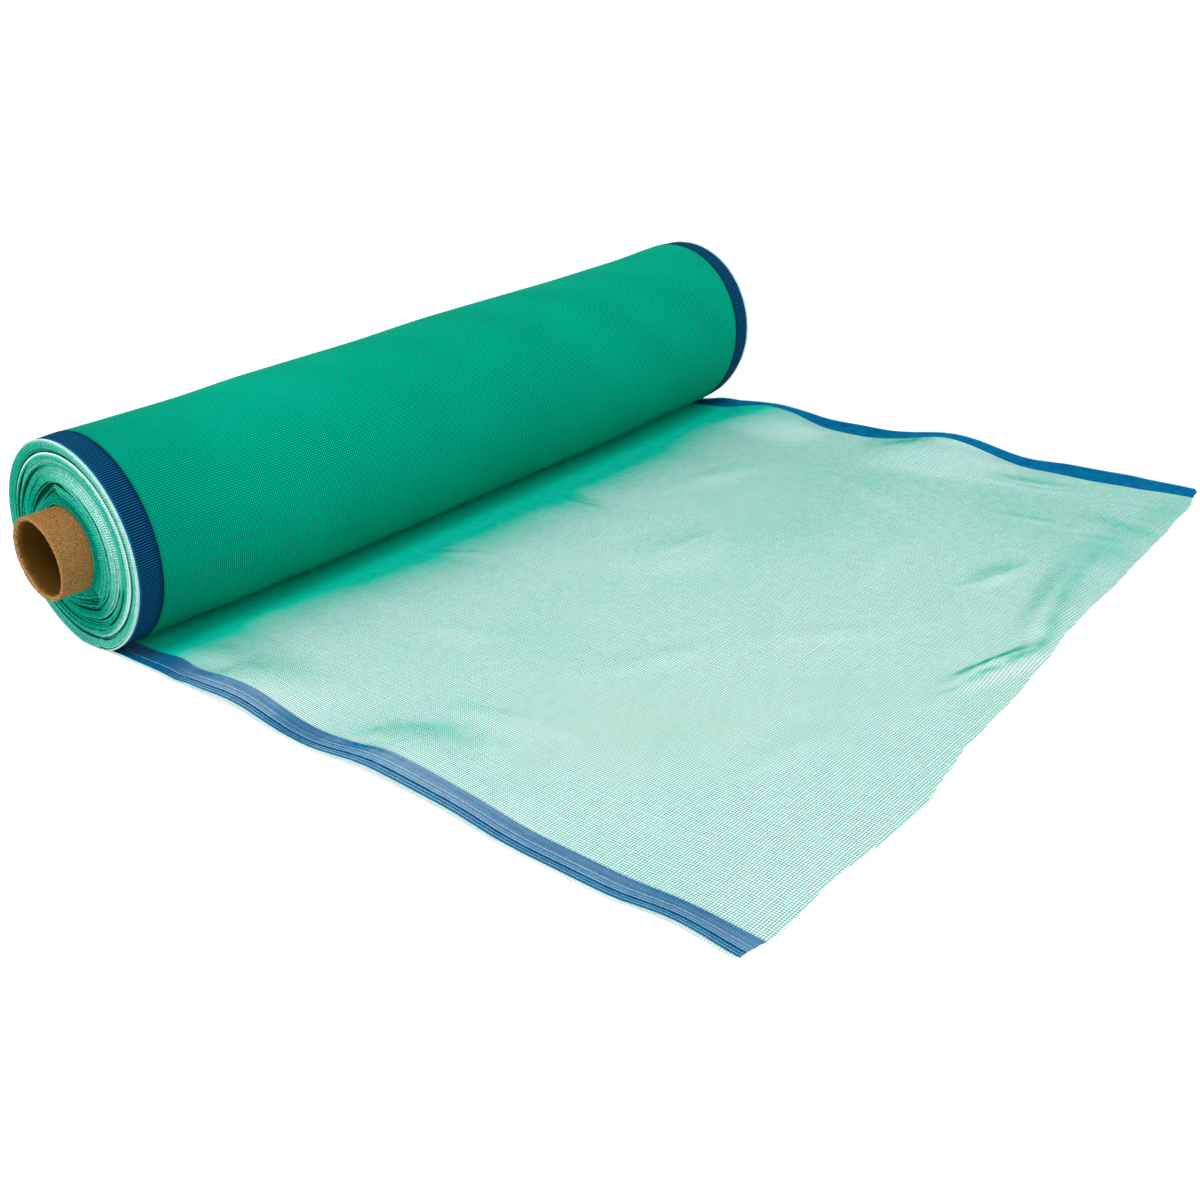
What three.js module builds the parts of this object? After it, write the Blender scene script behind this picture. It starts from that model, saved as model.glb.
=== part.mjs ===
// Roll of insect screen mesh: a woven net with a selvedge along each side, wound on a cardboard core,
// with its last stretch unrolled over the floor.
// Millimetres, +Z up. The origin is on the floor under the middle of the roll. +Y runs along the roll from
// its near end to its far end, and the net unrolls towards +X.
import * as THREE from "three";

// Driving sizes
const NET_WIDTH = 1000;
const NET_THICKNESS = 1.5;
const GAP = 0.3;
const SELVEDGE_WIDTH = 29;
const CORE_BORE = 76.2;
const CORE_WALL = 6;
const CORE_OUT_NEAR = 37;
const CORE_OUT_FAR = 16;
const AXIS_HEIGHT = 111.5;
const FLAT_SPOT_DEPTH = 1.5;

// Fineness of the faces
const ROUND_STEPS = 72;
const LENGTH_STEPS = 38;
const MIDDLE_LINES = 16;
// Lines of points beside each selvedge, by their distance in from the edge
const CLOSE_LINES = [0, 9, 19, 28, 30, 41, 56, 74, 96, 122, 152];
const MIDDLE_START = 185;

const HALF_WIDTH = NET_WIDTH / 2;
const CORE_RADIUS = CORE_BORE / 2 + CORE_WALL;
const BORE_RADIUS = CORE_RADIUS + GAP;
const LIFT = NET_THICKNESS + GAP;

// The turn that becomes the loose end leaves the roll here, in degrees round the roll from +X
const LEAVING_ANGLE = -83.9;
const LEAVING_SLOPE = 0.6;
const FOOT_X = 14;

// The roll along its length: its radius, and how far its side above the loose end stands out or is pressed in
const ROLL_SECTIONS = [
  { y: -500, radius: 111.9, lowSide: -4 },
  { y: -472, radius: 112.4, lowSide: -3 },
  { y: -470, radius: 112.4, lowSide: -3 },
  { y: -430, radius: 112.1, lowSide: -1 },
  { y: -340, radius: 111.8, lowSide: 2 },
  { y: -240, radius: 112.9, lowSide: 3 },
  { y: -100, radius: 112.8, lowSide: 3 },
  { y: 30, radius: 114.0, lowSide: 2.5 },
  { y: 250, radius: 113.5, lowSide: 3 },
  { y: 380, radius: 113.8, lowSide: 0 },
  { y: 470, radius: 115.2, lowSide: -2 },
  { y: 472, radius: 115.2, lowSide: -2 },
  { y: 500, radius: 114.4, lowSide: -4 },
];
const LOW_SIDE_ANGLE = -42;
const LOW_SIDE_SPREAD = 26;

// Neither end is square: how far each leans to +Y at its top and +X side, and to -Y at its bottom
const NEAR_LEAN = { up: 3.4, down: 0, side: 2.9 };
const FAR_LEAN = { up: 10, down: 6, side: -1.5 };
const LEAN_START = 280;

// The wound turns at each end, from the rim inwards: distance in from the rim, how far the turns are set back
// (they stand out round the core), and how much of the loose hollows beside the core they take part in
const END_TURNS = [
  { inset: 1.5, setback: -0.8, hollow: 0 },
  { inset: 10.5, setback: 0.6, hollow: 0 },
  { inset: 11.8, setback: 4.5, hollow: 0 },
  { inset: 13.6, setback: 4.5, hollow: 0 },
  { inset: 14.8, setback: 0, hollow: 0 },
  { inset: 28, setback: 0, hollow: 0.05 },
  { inset: 30, setback: 1.2, hollow: 0.1 },
  { inset: 45, setback: -2, hollow: 0.35 },
  { inset: 52, setback: -3.5, hollow: 1 },
  { inset: 58, setback: -5, hollow: 1 },
  { inset: 62, setback: -6, hollow: 0.3 },
];
const BORE_TURN = { setback: -6, hollow: 0.15 };
// The hollows beside the core, where the turns have opened: above it on the left, and below it
const HOLLOWS = [
  { angle: 126, depth: 15, spread: 24 },
  { angle: -78, depth: 13, spread: 20 },
];

// Side edges of the loose end: how far each strays out from the straight line. The net beside it follows
// as far in as STRAY_START from the middle.
const STRAY_START = 300;
const EDGE_STRAYS = [
  { x: 0, near: -1, far: 0 },
  { x: 60, near: -3, far: 0 },
  { x: 110, near: -4, far: 1 },
  { x: 150, near: -1, far: 1 },
  { x: 200, near: 2, far: 1 },
  { x: 260, near: 0, far: 1 },
  { x: 320, near: 0, far: 0 },
  { x: 410, near: 1, far: -1 },
  { x: 520, near: 0, far: 0 },
  { x: 590, near: 3, far: -1 },
  { x: 640, near: 3.5, far: -3 },
  { x: 690, near: 4, far: 0 },
  { x: 750, near: 2, far: 6 },
  { x: 830, near: 3.5, far: 7 },
];

// The cut free end, across the net
const FREE_END = [
  { y: -500, x: 819 },
  { y: -455, x: 826 },
  { y: -380, x: 823 },
  { y: -325, x: 827.5 },
  { y: -263, x: 829 },
  { y: -215, x: 820.5 },
  { y: -165, x: 812.5 },
  { y: -85, x: 808.5 },
  { y: 10, x: 801 },
  { y: 75, x: 792 },
  { y: 130, x: 787.5 },
  { y: 180, x: 786 },
  { y: 300, x: 779.5 },
  { y: 435, x: 770 },
  { y: 485, x: 760 },
  { y: 500, x: 755 },
];

// Waves, folds and creases of the loose end: each is a soft ridge with its middle, half its length and width,
// the direction it runs in degrees from +X, and its height
const FOLDS = [
  { name: "near swell by the roll", x: 118, y: -452, long: 60, wide: 46, run: 0, height: 7 },
  { name: "first near wave", x: 220, y: -468, long: 112, wide: 88, run: 0, height: 14.5 },
  { name: "second near wave", x: 438, y: -466, long: 105, wide: 85, run: 12, height: 13.5 },
  { name: "near edge after it", x: 530, y: -478, long: 90, wide: 60, run: 0, height: 5.5 },
  { name: "last near wave", x: 765, y: -512, long: 65, wide: 60, run: 0, height: 5 },
  { name: "near trough rim", x: 445, y: -372, long: 105, wide: 30, run: 24, height: 5 },
  { name: "far edge by the roll", x: 80, y: 505, long: 58, wide: 60, run: 0, height: 8 },
  { name: "first far wave", x: 182, y: 468, long: 78, wide: 108, run: 80, height: 20 },
  { name: "far edge between waves", x: 310, y: 515, long: 95, wide: 45, run: 0, height: 7 },
  { name: "second far wave", x: 445, y: 470, long: 122, wide: 100, run: 8, height: 20 },
  { name: "far edge after them", x: 640, y: 515, long: 135, wide: 50, run: 0, height: 8 },
  { name: "far crease", x: 575, y: 418, long: 95, wide: 24, run: 6, height: 4 },
  { name: "free end crease", x: 757, y: 120, long: 165, wide: 32, run: 103, height: 11 },
  { name: "free end fold", x: 772, y: -30, long: 85, wide: 22, run: 72, height: 11 },
  { name: "short crease", x: 678, y: 160, long: 62, wide: 20, run: 76, height: 4.5 },
  { name: "far corner curl", x: 735, y: 330, long: 85, wide: 40, run: 160, height: 4 },
  { name: "middle swell", x: 350, y: 20, long: 110, wide: 70, run: 80, height: 3 },
];

const NET_GREEN = new THREE.Color(0x0aa684);
const EDGE_MINT = new THREE.Color(0x6fcfb4);
const SELVEDGE_BLUE = new THREE.Color(0x0a4f86);
const BOARD_BROWN = 0xa07a4c;

// A column's value at a place along a table, eased from one row to the next
function fromTable(rows, along, at, column) {
  if (at <= rows[0][along]) return rows[0][column];
  for (let i = 1; i < rows.length; i++) {
    const before = rows[i - 1];
    const after = rows[i];
    if (at <= after[along]) {
      const share = (at - before[along]) / (after[along] - before[along]);
      return THREE.MathUtils.lerp(before[column], after[column], share * share * (3 - 2 * share));
    }
  }
  return rows[rows.length - 1][column];
}

const radians = THREE.MathUtils.degToRad;

// 1 at the middle of a fold, falling to 0 at its edge with no corner
function softBump(t) {
  return Math.abs(t) < 1 ? Math.cos((Math.PI * t) / 2) ** 2 : 0;
}

// How near two directions round the roll are, from 1 to 0
function nearAngle(angle, middle, spread) {
  const apart = Math.abs(((((angle - middle) % 360) + 540) % 360) - 180);
  return softBump(apart / spread / 2);
}

// A closed body from rings of points, each ring joined to the next and the last to the first
function closedRings(rings) {
  const count = rings[0].points.length;
  const positions = rings.flatMap((ring) => ring.points.flatMap((p) => [p.x, p.y, p.z]));
  const colours = rings.flatMap((ring) => ring.points.map(() => ring.colour));
  const faces = [];
  rings.forEach((_, r) => {
    const next = ((r + 1) % rings.length) * count;
    for (let c = 0; c < count; c++) {
      const d = (c + 1) % count;
      faces.push(r * count + c, next + c, next + d, r * count + c, next + d, r * count + d);
    }
  });
  return paintedGeometry(positions, faces, colours);
}

function paintedGeometry(positions, faces, colours) {
  const geometry = new THREE.BufferGeometry();
  geometry.setAttribute("position", new THREE.Float32BufferAttribute(positions, 3));
  geometry.setAttribute("color", new THREE.Float32BufferAttribute(colours.flatMap((c) => c.toArray()), 3));
  geometry.setIndex(faces);
  geometry.computeVertexNormals();
  return geometry;
}

// The selvedges are woven into the net in blue
function netColour(y) {
  return Math.abs(y) > HALF_WIDTH - SELVEDGE_WIDTH ? SELVEDGE_BLUE : NET_GREEN;
}

function netMaterial() {
  return new THREE.MeshStandardMaterial({ vertexColors: true, roughness: 0.75, metalness: 0 });
}

function namedMesh(name, geometry, material) {
  const mesh = new THREE.Mesh(geometry, material);
  mesh.name = name;
  return mesh;
}

// Core: a plain round tube along the roll
function coreTube() {
  const near = -HALF_WIDTH - CORE_OUT_NEAR;
  const far = HALF_WIDTH + CORE_OUT_FAR;
  const wall = [
    new THREE.Vector2(CORE_RADIUS, near),
    new THREE.Vector2(CORE_RADIUS, far),
    new THREE.Vector2(CORE_BORE / 2, far),
    new THREE.Vector2(CORE_BORE / 2, near),
    new THREE.Vector2(CORE_RADIUS, near),
  ];
  const board = new THREE.MeshStandardMaterial({ color: BOARD_BROWN, roughness: 0.9, metalness: 0 });
  const mesh = namedMesh("core_tube", new THREE.LatheGeometry(wall, ROUND_STEPS), board);
  mesh.position.z = AXIS_HEIGHT;
  return mesh;
}

// Directions round the roll, with a step down where the last turn leaves it along the floor
function rollColumns() {
  const columns = [];
  for (let i = 0; i < ROUND_STEPS; i++) {
    const angle = -180 + (360 * i) / ROUND_STEPS;
    const leaving = angle > LEAVING_ANGLE;
    if (leaving && columns[columns.length - 1].floor === 0 && angle < 0) {
      columns.push({ angle: LEAVING_ANGLE, floor: 0 });
      columns.push({ angle: LEAVING_ANGLE + LEAVING_SLOPE, floor: LIFT });
    }
    columns.push({ angle, floor: leaving && angle < 0 ? LIFT : 0 });
  }
  return columns;
}

// How far an end leans along the roll in one direction round it
function leanOf(lean, angle) {
  const rise = Math.sin(radians(angle));
  return (rise > 0 ? lean.up : lean.down) * rise + lean.side * Math.cos(radians(angle));
}

// A point on the outside of the roll
function outsidePoint(y, column) {
  const radius = fromTable(ROLL_SECTIONS, "y", y, "radius");
  const lowSide = fromTable(ROLL_SECTIONS, "y", y, "lowSide");
  const reach = radius + lowSide * nearAngle(column.angle, LOW_SIDE_ANGLE, LOW_SIDE_SPREAD);
  const middle = radius - FLAT_SPOT_DEPTH;
  const z = middle + reach * Math.sin(radians(column.angle));
  const lean = y < 0 ? NEAR_LEAN : FAR_LEAN;
  const share = THREE.MathUtils.smoothstep(Math.abs(y), LEAN_START, HALF_WIDTH);
  return new THREE.Vector3(
    reach * Math.cos(radians(column.angle)),
    y + share * leanOf(lean, column.angle),
    Math.max(z, column.floor),
  );
}

function borePoint(y, column) {
  const x = BORE_RADIUS * Math.cos(radians(column.angle));
  return new THREE.Vector3(x, y, AXIS_HEIGHT + BORE_RADIUS * Math.sin(radians(column.angle)));
}

// How far a turn is set back from the rim in one direction round the roll
function setbackOf(turn, angle) {
  const hollow = HOLLOWS.reduce((sum, h) => sum + h.depth * nearAngle(angle, h.angle, h.spread), 0);
  return turn.setback + turn.hollow * hollow;
}

// The rings of one end face, from the rim to the bore; side is -1 at the near end and 1 at the far end
function endRings(side, columns) {
  const turnPoint = (turn, column) => {
    const rim = outsidePoint(side * HALF_WIDTH, column);
    const bore = borePoint(rim.y, column);
    const point = rim.lerp(bore, turn.inset / rim.distanceTo(bore));
    point.y -= side * setbackOf(turn, column.angle);
    return point;
  };
  const mouthPoint = (column) => {
    const rimY = outsidePoint(side * HALF_WIDTH, column).y;
    return borePoint(rimY - side * setbackOf(BORE_TURN, column.angle), column);
  };
  const rings = END_TURNS.map((turn) => columns.map((column) => turnPoint(turn, column)));
  return [...rings, columns.map(mouthPoint)].map((points) => ({ points, colour: EDGE_MINT }));
}

function woundRoll() {
  const columns = rollColumns();
  const outside = ROLL_SECTIONS.map((row) => ({
    points: columns.map((column) => outsidePoint(row.y, column)),
    colour: netColour(row.y),
  }));
  const rings = [...outside, ...endRings(1, columns), ...endRings(-1, columns).reverse()];
  return namedMesh("wound_roll", closedRings(rings), netMaterial());
}

// Height of the loose end over the floor
function foldHeight(x, y) {
  let height = 0;
  for (const fold of FOLDS) {
    const run = radians(fold.run);
    const along = (x - fold.x) * Math.cos(run) + (y - fold.y) * Math.sin(run);
    const across = (y - fold.y) * Math.cos(run) - (x - fold.x) * Math.sin(run);
    height += fold.height * softBump(along / fold.long) * softBump(across / fold.wide);
  }
  return height;
}

// Where the lines of points run along the loose end, closer together at the selvedges where the waves are
function sheetLines() {
  const near = CLOSE_LINES.map((inset) => inset - HALF_WIDTH);
  const start = MIDDLE_START - HALF_WIDTH;
  const middle = [];
  for (let i = 0; i <= MIDDLE_LINES; i++) middle.push(THREE.MathUtils.lerp(start, -start, i / MIDDLE_LINES));
  return [...near, ...middle, ...near.map((y) => -y).reverse()];
}

// A point under the loose end: a step from the foot to the free end, on one line
function sheetPoint(step, line) {
  const x = THREE.MathUtils.lerp(FOOT_X, fromTable(FREE_END, "y", line, "x"), step / LENGTH_STEPS);
  const stray = fromTable(EDGE_STRAYS, "x", x, line < 0 ? "near" : "far");
  const follow = THREE.MathUtils.smoothstep(Math.abs(line), STRAY_START, HALF_WIDTH);
  const y = line + Math.sign(line) * stray * follow;
  return new THREE.Vector3(x, y, foldHeight(x, y));
}

// The unrolled length: the same grid of points under and over, joined round its rim
function looseEnd() {
  const lines = sheetLines();
  const rows = LENGTH_STEPS + 1;
  const positions = [];
  const colours = [];
  for (const thickness of [0, NET_THICKNESS]) {
    for (let i = 0; i < rows; i++) {
      for (const line of lines) {
        const point = sheetPoint(i, line);
        positions.push(point.x, point.y, point.z + thickness);
        colours.push(netColour(line));
      }
    }
  }
  const across = lines.length;
  const under = (i, j) => i * across + j;
  const over = (i, j) => rows * across + i * across + j;
  const faces = [];
  const quad = (a, b, c, d) => faces.push(a, b, c, a, c, d);
  for (let i = 0; i + 1 < rows; i++) {
    for (let j = 0; j + 1 < across; j++) {
      quad(over(i, j), over(i + 1, j), over(i + 1, j + 1), over(i, j + 1));
      quad(under(i, j), under(i, j + 1), under(i + 1, j + 1), under(i + 1, j));
    }
    quad(under(i, 0), under(i + 1, 0), over(i + 1, 0), over(i, 0));
    quad(over(i, across - 1), over(i + 1, across - 1), under(i + 1, across - 1), under(i, across - 1));
  }
  for (let j = 0; j + 1 < across; j++) {
    quad(over(0, j), over(0, j + 1), under(0, j + 1), under(0, j));
    quad(under(rows - 1, j), under(rows - 1, j + 1), over(rows - 1, j + 1), over(rows - 1, j));
  }
  return namedMesh("loose_end", paintedGeometry(positions, faces, colours), netMaterial());
}

const meshRoll = new THREE.Group();
meshRoll.add(coreTube(), woundRoll(), looseEnd());

export default meshRoll;
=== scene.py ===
"""Roll of insect screen mesh: a green woven net with blue selvedges, wound on a cardboard core, with its last
stretch unrolled over a pale floor.

Sizes are millimetres in the tables and metres in the meshes. +Z is up, +Y runs along the roll from the end
where the core sticks out, and the net unrolls towards +X. The origin is on the floor under the roll's middle.
"""

import math

import bpy
import numpy as np
from mathutils import Matrix, Vector


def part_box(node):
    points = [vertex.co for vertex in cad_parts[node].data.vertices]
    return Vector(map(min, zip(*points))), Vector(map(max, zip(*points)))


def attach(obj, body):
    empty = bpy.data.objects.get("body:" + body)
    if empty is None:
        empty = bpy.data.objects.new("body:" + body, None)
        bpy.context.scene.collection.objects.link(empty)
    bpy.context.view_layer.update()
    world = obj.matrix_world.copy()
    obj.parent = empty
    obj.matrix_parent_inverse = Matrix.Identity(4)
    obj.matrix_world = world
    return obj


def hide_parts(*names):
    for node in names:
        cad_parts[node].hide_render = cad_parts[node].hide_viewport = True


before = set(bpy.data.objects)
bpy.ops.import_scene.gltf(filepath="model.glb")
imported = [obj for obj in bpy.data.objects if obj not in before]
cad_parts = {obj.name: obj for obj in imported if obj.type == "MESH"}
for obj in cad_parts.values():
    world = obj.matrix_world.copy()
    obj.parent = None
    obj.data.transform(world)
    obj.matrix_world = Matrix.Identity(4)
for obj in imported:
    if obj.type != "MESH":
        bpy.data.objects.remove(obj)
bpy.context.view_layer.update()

MM = 0.001
SEED = 7
random = np.random.default_rng(SEED)

# Net and roll
NET_WIDTH = 1000
HALF_WIDTH = NET_WIDTH / 2
NET_LIFT = 1.8
WARP_PITCH = 2.45
WEFT_PITCH = 2.6
YARN_RADIUS = 0.295
FRINGE = 3.5
BLUE_WIDTH = 25.5
FLAT_SPOT_DEPTH = 1.5
LEAVING_ANGLE = -83.9
LEAVING_SLOPE = 0.6
FOOT_X = 14

# Core
CORE_LOW, CORE_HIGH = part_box("core_tube")
CORE_OUTSIDE = (CORE_HIGH.x - CORE_LOW.x) / 2 / MM
CORE_BORE = 38.1
CORE_AXIS_Z = (CORE_HIGH.z + CORE_LOW.z) / 2 / MM
CORE_GAP = 0.3
BORE_RADIUS = CORE_OUTSIDE + CORE_GAP


def table(columns, *rows):
    """Rows of numbers under named columns."""
    names = columns.split()
    return [dict(zip(names, row, strict=True)) for row in rows]


# The roll along its length: its radius, and how far its side above the loose end stands out or is pressed in
ROLL_SECTIONS = table(
    "y radius low_side",
    (-500, 111.9, -4),
    (-472, 112.4, -3),
    (-430, 112.1, -1),
    (-340, 111.8, 2),
    (-240, 112.9, 3),
    (-100, 112.8, 3),
    (30, 114.0, 2.5),
    (250, 113.5, 3),
    (380, 113.8, 0),
    (470, 115.2, -2),
    (500, 114.4, -4),
)
LOW_SIDE_ANGLE = -42
LOW_SIDE_SPREAD = 26
NEAR_LEAN = {"up": 3.4, "down": 0, "side": 2.9}
FAR_LEAN = {"up": 10, "down": 6, "side": -1.5}
LEAN_START = 280

# Wound turns at each end, from the rim inwards: how far they are set back, and their share in the hollows
END_TURNS = table(
    "inset setback hollow",
    (0, 0, 0),
    (10.5, 0.6, 0),
    (11.8, 4.5, 0),
    (13.6, 4.5, 0),
    (14.8, 0, 0),
    (28, 0, 0.05),
    (30, 1.2, 0.1),
    (45, -2, 0.22),
    (52, -3.5, 0.8),
    (58, -5, 1),
    (62, -6, 0.3),
    (68, -6, 0.15),
)
HOLLOWS = table("angle depth spread", (126, 15, 24), (-78, 13, 20))
# Gaps between groups of turns, where they have slipped apart
TURN_GAPS = table(
    "inset width depth angle spread",
    (20, 3.0, 9, 165, 26),
    (29, 1.4, 4, 140, 30),
    (37, 1.4, 4, 128, 30),
    (49, 3.2, 6, 122, 34),
    (23, 1.5, 6, -52, 26),
    (32, 1.7, 7, -60, 24),
    (44, 2.6, 6, -72, 26),
)
TURNS = 31
KNOT_STEP = 1.3
FAR_KNOT_STEP = 2.6

# Side edges of the loose end: how far each strays out, and how far in the net follows
STRAY_START = 300
EDGE_STRAYS = table(
    "x near far",
    (0, -1, 0),
    (60, -3, 0),
    (110, -4, 1),
    (150, -1, 1),
    (200, 2, 1),
    (260, 0, 1),
    (320, 0, 0),
    (410, 1, -1),
    (520, 0, 0),
    (590, 3, -1),
    (640, 3.5, -3),
    (690, 4, 0),
    (750, 2, 6),
    (830, 3.5, 7),
)

# The cut free end, across the net
FREE_END = table(
    "y x",
    (-500, 819), (-455, 826), (-380, 823), (-325, 827.5), (-263, 829), (-215, 820.5), (-165, 812.5),
    (-85, 808.5), (10, 801), (75, 792), (130, 787.5), (180, 786), (300, 779.5), (435, 770), (485, 760),
    (500, 755),
)

# Waves, folds and creases of the loose end, as soft ridges: the first rows are the solid's own folds
FOLDS = table(
    "x y long wide run height",
    (118, -452, 60, 46, 0, 7),
    (220, -468, 112, 88, 0, 14.5),
    (438, -466, 105, 85, 12, 13.5),
    (530, -478, 90, 60, 0, 5.5),
    (765, -512, 65, 60, 0, 5),
    (445, -372, 105, 30, 24, 5),
    (80, 505, 58, 60, 0, 8),
    (182, 468, 78, 108, 80, 20),
    (310, 515, 95, 45, 0, 7),
    (445, 470, 122, 100, 8, 20),
    (640, 515, 135, 50, 0, 8),
    (575, 418, 95, 24, 6, 4),
    (757, 120, 165, 32, 103, 11),
    (772, -30, 85, 22, 72, 11),
    (678, 160, 62, 20, 76, 4.5),
    (735, 330, 85, 40, 160, 4),
    (350, 20, 110, 70, 80, 3),
)
# Small creases that only the fine surface has
FINE_FOLDS = table(
    "x y long wide run height",
    (125, 490, 35, 45, 0, 3),
    (190, 482, 40, 40, 0, -2.5),
    (238, 476, 55, 28, 0, -2.5),
    (398, 466, 56, 30, 8, -2.5),
    (385, 512, 45, 20, 0, 2.5),
    (150, -462, 50, 20, 0, -2),
    (400, -468, 40, 18, 10, -2),
    (445, -372, 105, 30, 24, -2.4),
    (470, -354, 90, 11, 10, 0.5),
    (575, 418, 95, 24, 6, -2.4),
    (678, 160, 62, 20, 76, -1.5),
    (640, 318, 75, 12, 4, 0.8),
    (718, 302, 40, 10, 6, 1),
    (160, 76, 55, 9, 2, 1.6),
    (150, -118, 60, 12, 32, 1.6),
    (350, 40, 70, 14, 86, 1.2),
    (500, -190, 80, 24, 60, 1.4),
    (600, -60, 90, 26, 40, 1.2),
    (300, -260, 90, 30, 20, 1.2),
    (250, 250, 100, 34, 70, 1.4),
    (560, 120, 90, 30, 110, 1.2),
    (700, -260, 90, 30, 80, 1.4),
    (440, 300, 90, 30, 150, 1.4),
)

# Painted shadow of the roll on the loose net: how far from the roll the net is painted dense and green, as
# the shade under the roll, and how it thins out from there
ROLL_SHADOW_REACH = table(
    "y x",
    (-500, 92), (-450, 97), (-410, 95), (-390, 100), (-372, 88), (-350, 85), (-310, 92), (-270, 100),
    (-230, 116), (-190, 120), (-132, 130), (-114, 119), (-50, 124), (30, 124), (50, 131), (73, 142),
    (92, 137), (110, 120), (150, 128), (270, 127), (330, 113), (370, 104), (410, 108), (430, 121),
    (450, 158), (475, 176), (500, 184),
)
SHADE_TAIL = 46
SHADE_FALL = 1.15
# Its edge is ragged: how deep and how long the rags are, and how they slant
RAG_DEPTH = 5
RAG_LENGTH = 23
RAG_SLANT = 1.3

# Stations along the yarns of the loose end, closer together where it is folded
WARP_STEPS = table("start step", (0, 10), (250, 15), (560, 11), (690, 7))
WEFT_STEPS = table("start step", (0, 8), (120, 16), (860, 9))


def from_table(rows, along, at, column):
    """A column's value at places along a table, eased from one row to the next."""
    at = np.asarray(at, float)
    places = np.array([row[along] for row in rows], float)
    values = np.array([row[column] for row in rows], float)
    i = np.clip(np.searchsorted(places, at) - 1, 0, len(rows) - 2)
    share = np.clip((at - places[i]) / (places[i + 1] - places[i]), 0, 1)
    return values[i] + (values[i + 1] - values[i]) * share * share * (3 - 2 * share)


def smoothstep(value, low, high):
    share = np.clip((np.asarray(value, float) - low) / (high - low), 0, 1)
    return share * share * (3 - 2 * share)


def soft_bump(t):
    """1 at the middle of a fold, falling to 0 at its edge with no corner."""
    return np.where(np.abs(t) < 1, np.cos(np.pi * np.clip(t, -1, 1) / 2) ** 2, 0)


def near_angle(angle, middle, spread):
    """How near two directions round the roll are, from 1 to 0."""
    apart = np.abs((np.asarray(angle, float) - middle + 180) % 360 - 180)
    return soft_bump(apart / spread / 2)


def ripple(at, waves, size):
    """A gentle unevenness along one or two directions: a sum of seeded sine waves."""
    total = 0
    for _ in range(waves):
        turn = random.uniform(0, 2 * np.pi)
        rates = random.uniform(0.4, 1.6, len(at))
        total = total + np.sin(sum(a * r for a, r in zip(at, rates, strict=True)) + turn)
    return size * total / math.sqrt(waves)


# Shape of the roll


def lean_of(lean, turn):
    """How far an end leans along the roll in one direction round it."""
    rise = np.sin(turn)
    return np.where(rise > 0, lean["up"], lean["down"]) * rise + lean["side"] * np.cos(turn)


def rim_point(y, angle, floor=None):
    """A point on the outside of the roll, as x, y, z arrays."""
    y, angle = np.broadcast_arrays(np.asarray(y, float), np.asarray(angle, float))
    turn = np.radians(angle)
    radius = from_table(ROLL_SECTIONS, "y", y, "radius")
    low_side = from_table(ROLL_SECTIONS, "y", y, "low_side")
    reach = radius + low_side * near_angle(angle, LOW_SIDE_ANGLE, LOW_SIDE_SPREAD)
    z = radius - FLAT_SPOT_DEPTH + reach * np.sin(turn)
    if floor is None:
        wrapped = (angle + 180) % 360 - 180
        floor = np.where((wrapped > LEAVING_ANGLE) & (wrapped < 0), NET_LIFT, 0)
    share = smoothstep(np.abs(y), LEAN_START, HALF_WIDTH)
    lean = np.where(y < 0, lean_of(NEAR_LEAN, turn), lean_of(FAR_LEAN, turn))
    return reach * np.cos(turn), y + share * lean, np.maximum(z, floor)


def bore_point(angle):
    turn = np.radians(angle)
    return BORE_RADIUS * np.cos(turn), CORE_AXIS_Z + BORE_RADIUS * np.sin(turn)


def setback(inset, angle):
    """How far the edges of the turns are set back from the rim."""
    hollow = sum(row["depth"] * near_angle(angle, row["angle"], row["spread"]) for row in HOLLOWS)
    depth = from_table(END_TURNS, "inset", inset, "setback")
    depth = depth + from_table(END_TURNS, "inset", inset, "hollow") * hollow
    for gap in TURN_GAPS:
        reach = near_angle(angle, gap["angle"], gap["spread"])
        depth = depth + gap["depth"] * reach * soft_bump((inset - gap["inset"]) / gap["width"])
    return depth


def end_point(side, share, angle, depth):
    """A point on an end face: share runs from the rim to the bore, depth into the roll."""
    x, y, z = rim_point(side * HALF_WIDTH, angle)
    bore_x, bore_z = bore_point(angle)
    return x + (bore_x - x) * share, y - side * depth, z + (bore_z - z) * share


def face_depth(angle):
    """Distance from the rim to the bore on an end face."""
    x, _, z = rim_point(HALF_WIDTH, angle)
    bore_x, bore_z = bore_point(angle)
    return np.hypot(x - bore_x, z - bore_z)


# Shape of the loose end


def patches(rows, x, y, column):
    """The sum of a table's soft patches at places on the net."""
    total = 0
    for row in rows:
        run = math.radians(row["run"])
        along = (x - row["x"]) * math.cos(run) + (y - row["y"]) * math.sin(run)
        across = (y - row["y"]) * math.cos(run) - (x - row["x"]) * math.sin(run)
        total = total + row[column] * soft_bump(along / row["long"]) * soft_bump(across / row["wide"])
    return total


def strayed(x, line):
    """Where a line along the net really runs, as its selvedges stray."""
    near = from_table(EDGE_STRAYS, "x", x, "near")
    far = from_table(EDGE_STRAYS, "x", x, "far")
    follow = smoothstep(np.abs(line), STRAY_START, HALF_WIDTH)
    return line + np.where(line < 0, -near, far) * follow


def net_point(x, line, lift=0.35):
    """A point of the loose end over the floor, as x, y, z arrays."""
    x, line = np.broadcast_arrays(np.asarray(x, float), np.asarray(line, float))
    y = strayed(x, line)
    return x, y, patches(FOLDS + FINE_FOLDS, x, y, "height") + lift


def stations(rows, length):
    """Places from 0 to length, with the steps that a table gives."""
    places = [0.0]
    while places[-1] < length:
        step = [row["step"] for row in rows if row["start"] <= places[-1]][-1]
        places.append(places[-1] + step)
    return np.array(places[:-1] + [length])


# Meshes


def new_object(name, mesh):
    piece = bpy.data.objects.new(name, mesh)
    bpy.context.scene.collection.objects.link(piece)
    return piece


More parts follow.
